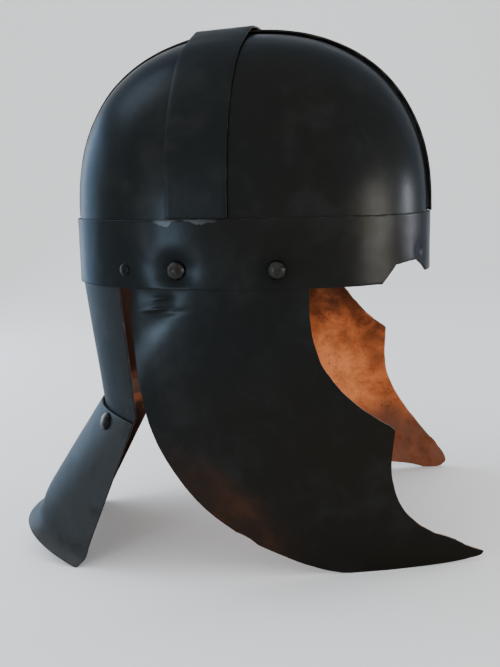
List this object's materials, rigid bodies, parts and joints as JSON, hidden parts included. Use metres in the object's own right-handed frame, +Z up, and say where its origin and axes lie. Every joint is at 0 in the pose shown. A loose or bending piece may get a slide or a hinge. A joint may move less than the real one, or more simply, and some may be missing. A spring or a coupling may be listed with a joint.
{
  "type": "spangenhelm helmet",
  "caption": "Open-faced segmented metal helmet with crossing bands, a brow band, pointed cheek plates and a laminated neck guard.",
  "frame": {"origin": "middle of the footprint, on the surface the helmet rests on", "axes": "+Z up, -Y the front of the face, +X the wearer's left; the helmet is stored in the pose in which it rests on its cheek plates and neck guard"},
  "size_m": [0.1976, 0.3218, 0.3467],
  "materials": {
    "blackened_copper": "satin, blackened outside, bare mottled copper inside",
    "hammered_rivet": "hammered, satin"
  },
  "bodies": {
    "root": {"brow_band": "blackened_copper", "skull_plate_front_right": "blackened_copper", "skull_plate_front_left": "blackened_copper", "skull_plate_rear_right": "blackened_copper", "skull_plate_rear_left": "blackened_copper", "band_front_to_back": "blackened_copper", "band_side_to_side": "blackened_copper", "cheek_plate_right": "blackened_copper", "cheek_plate_left": "blackened_copper", "neck_lame_upper": "blackened_copper", "neck_lame_lower": "blackened_copper", "cheek_rivet_right_rear": "hammered_rivet", "cheek_rivet_right_front": "hammered_rivet", "cheek_rivet_left_rear": "hammered_rivet", "cheek_rivet_left_front": "hammered_rivet", "neck_rivet_right_upper": "hammered_rivet", "neck_rivet_left_upper": "hammered_rivet", "neck_rivet_right_lower": "hammered_rivet", "neck_rivet_left_lower": "hammered_rivet"}
  },
  "joints": []
}
